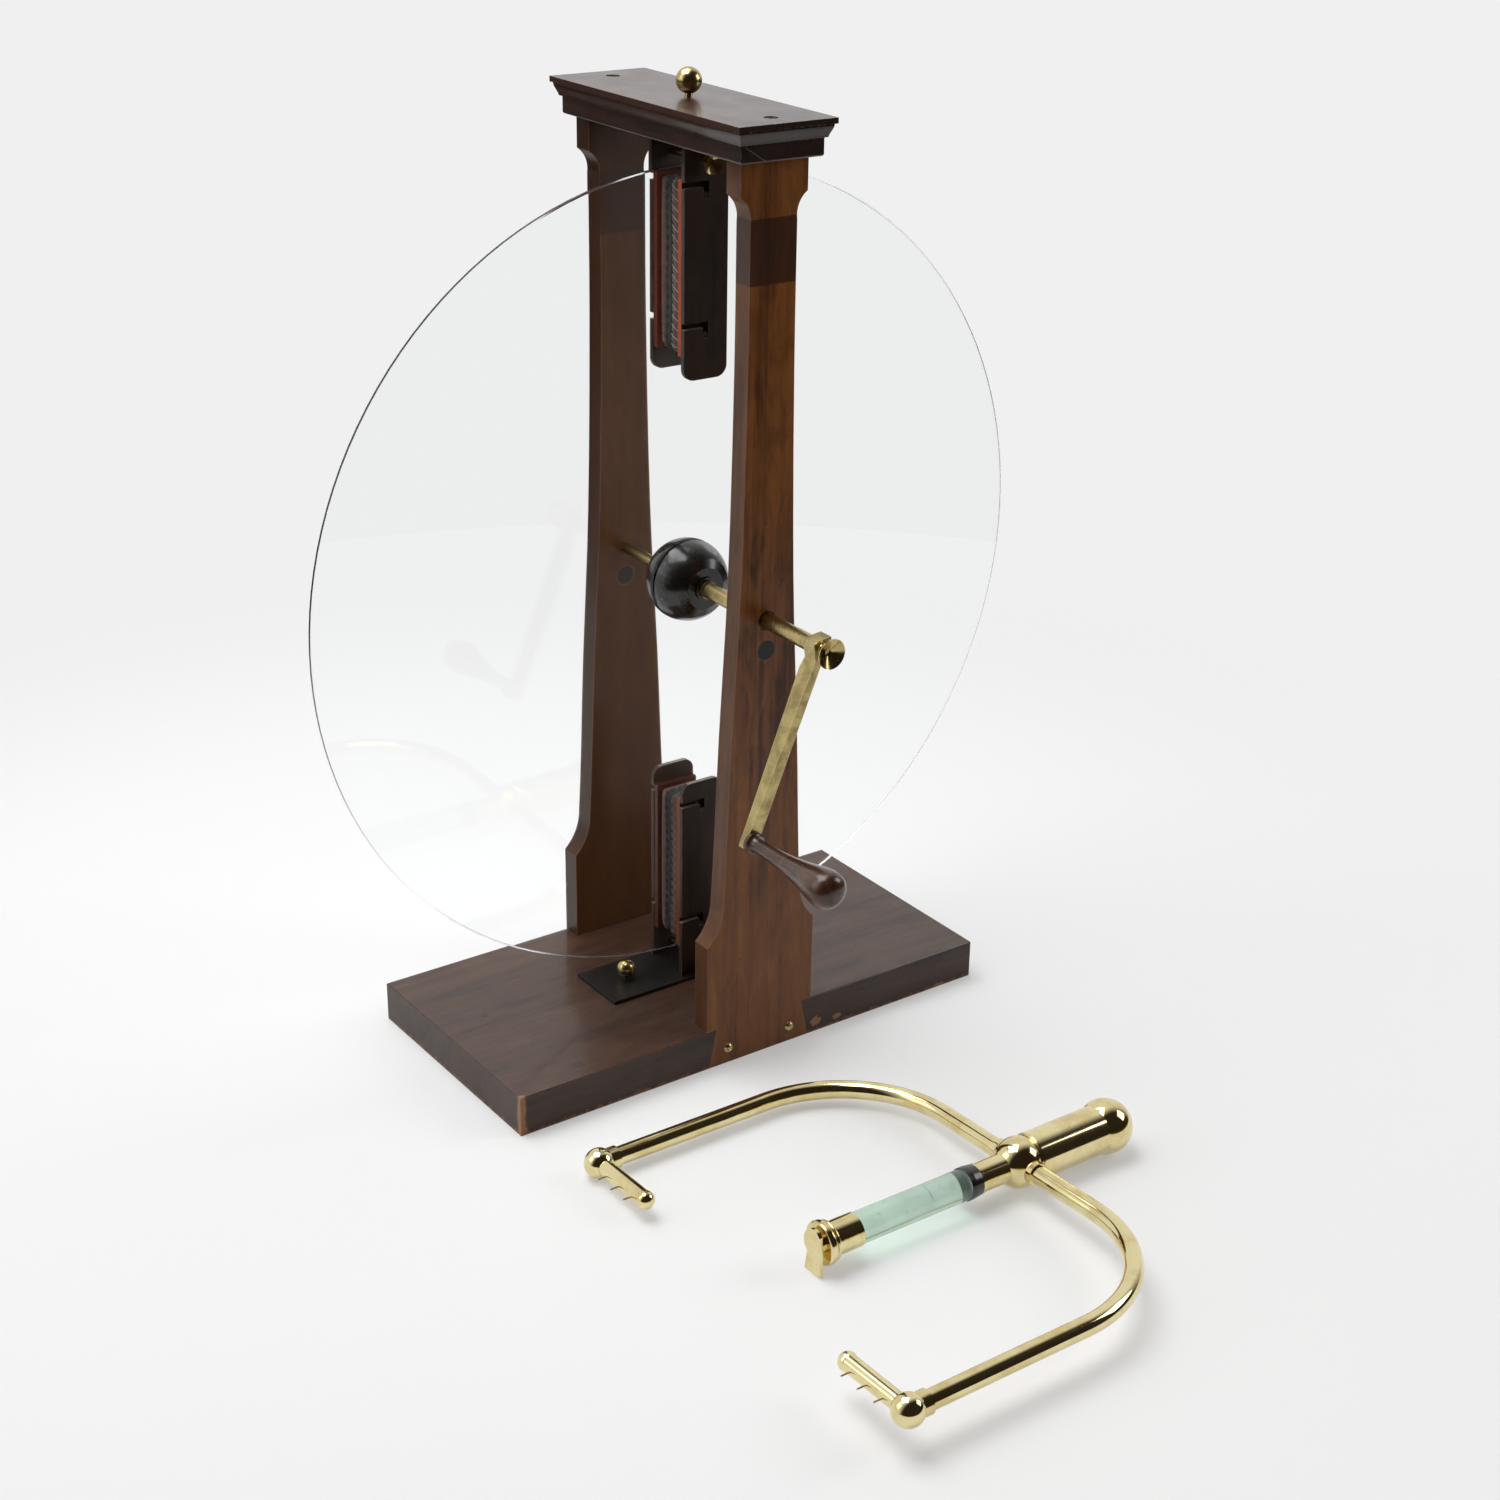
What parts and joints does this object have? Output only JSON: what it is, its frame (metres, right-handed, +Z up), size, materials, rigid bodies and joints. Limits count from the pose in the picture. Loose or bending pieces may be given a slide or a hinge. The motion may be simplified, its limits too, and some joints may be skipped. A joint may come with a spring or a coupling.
{
  "type": "plate electrical machine",
  "caption": "Hand-cranked glass disc between two tapering wooden pillars on a slab base, with stitched rubbers above and below and a forked brass collector lying in front.",
  "frame": {"origin": "middle of the underside of the base", "axes": "+Z up, -Y towards the crank along the axle, +X along the base's long side"},
  "size_m": [0.5999, 0.644, 0.7133],
  "materials": {
    "base_wood": "aged waxed mahogany, semi-gloss",
    "pillar_wood": "waxed mahogany, semi-gloss",
    "dark_wood": "dark waxed mahogany",
    "black_board": "near-black polish",
    "ebonised_wood": "black polished",
    "grip_wood": "french polished",
    "red_lacquer": "brick red lacquer on wood",
    "leather": "worn grey leather",
    "brass": "aged, lacquered",
    "bright_brass": "mirror polished",
    "dark_steel": "browned",
    "clear_glass": "clear, faint green edge",
    "green_glass": "pale green"
  },
  "bodies": {
    "frame": {"base": "base_wood", "front_pillar": "pillar_wood", "rear_pillar": "pillar_wood", "cornice": "dark_wood", "pillar_screws": "brass", "cornice_screws": "dark_steel", "pillar_plugs": "ebonised_wood", "base_panel": "ebonised_wood", "top_ball": "brass", "lower_ball": "brass", "upper_front_board": "black_board", "upper_rear_board": "black_board", "lower_front_board": "black_board", "lower_rear_board": "black_board", "upper_clamp_bolt": "brass", "lower_clamp_bolt": "brass"},
    "disc": {"plate": "clear_glass", "hub_front": "ebonised_wood", "hub_rear": "ebonised_wood", "hub_collar": "ebonised_wood", "axle": "brass", "crank_arm": "brass", "crank_nut": "brass", "handle_spindle": "brass"},
    "handle": {"handle_grip": "grip_wood"},
    "upper_knob": {"upper_clamp_knob": "brass"},
    "lower_knob": {"lower_clamp_knob": "brass"},
    "conductor": {"conductor_foot": "bright_brass", "glass_rod": "green_glass", "rod_collar": "ebonised_wood", "rod_ferrule": "bright_brass", "centre_ball": "bright_brass", "barrel": "bright_brass", "barrel_cap": "bright_brass", "left_arm": "bright_brass", "right_arm": "bright_brass", "left_comb": "bright_brass", "right_comb": "bright_brass", "comb_pins": "bright_brass"},
    "upper_front_rubber": {"upper_front_rubber_back": "red_lacquer", "upper_front_rubber_pegs": "dark_steel", "upper_front_cushion": "leather"},
    "upper_rear_rubber": {"upper_rear_rubber_back": "red_lacquer", "upper_rear_rubber_pegs": "dark_steel", "upper_rear_cushion": "leather"},
    "lower_front_rubber": {"lower_front_rubber_back": "red_lacquer", "lower_front_rubber_pegs": "dark_steel", "lower_front_cushion": "leather"},
    "lower_rear_rubber": {"lower_rear_rubber_back": "red_lacquer", "lower_rear_rubber_pegs": "dark_steel", "lower_rear_cushion": "leather"}
  },
  "joints": [
    {"name": "crank_turn", "type": "hinge", "parent": "frame", "child": "disc", "pos_m": [0, 0, 0.3492], "axis": [0, -1, 0], "continuous": true},
    {"name": "handle_spin", "type": "hinge", "parent": "disc", "child": "handle", "pos_m": [-0.05472, -0.2, 0.21709], "axis": [0, -1, 0], "continuous": true},
    {"name": "upper_clamp_turn", "type": "hinge", "parent": "frame", "child": "upper_knob", "pos_m": [0, -0.022, 0.655], "axis": [0, -1, 0], "range_deg": [0, 1080]},
    {"name": "lower_clamp_turn", "type": "hinge", "parent": "frame", "child": "lower_knob", "pos_m": [0, -0.022, 0.0434], "axis": [0, -1, 0], "range_deg": [0, 1080]},
    {"name": "upper_front_rubber_lift", "type": "slide", "parent": "frame", "child": "upper_front_rubber", "axis": [0, 0, 1], "range_m": [0, 0.007]},
    {"name": "upper_rear_rubber_lift", "type": "slide", "parent": "frame", "child": "upper_rear_rubber", "axis": [0, 0, 1], "range_m": [0, 0.007]},
    {"name": "lower_front_rubber_lift", "type": "slide", "parent": "frame", "child": "lower_front_rubber", "axis": [0, 0, 1], "range_m": [0, 0.007]},
    {"name": "lower_rear_rubber_lift", "type": "slide", "parent": "frame", "child": "lower_rear_rubber", "axis": [0, 0, 1], "range_m": [0, 0.007]},
    {"name": "conductor_lift", "type": "slide", "parent": "frame", "child": "conductor", "axis": [0, 0, 1], "range_m": [0, 0.15]}
  ]
}
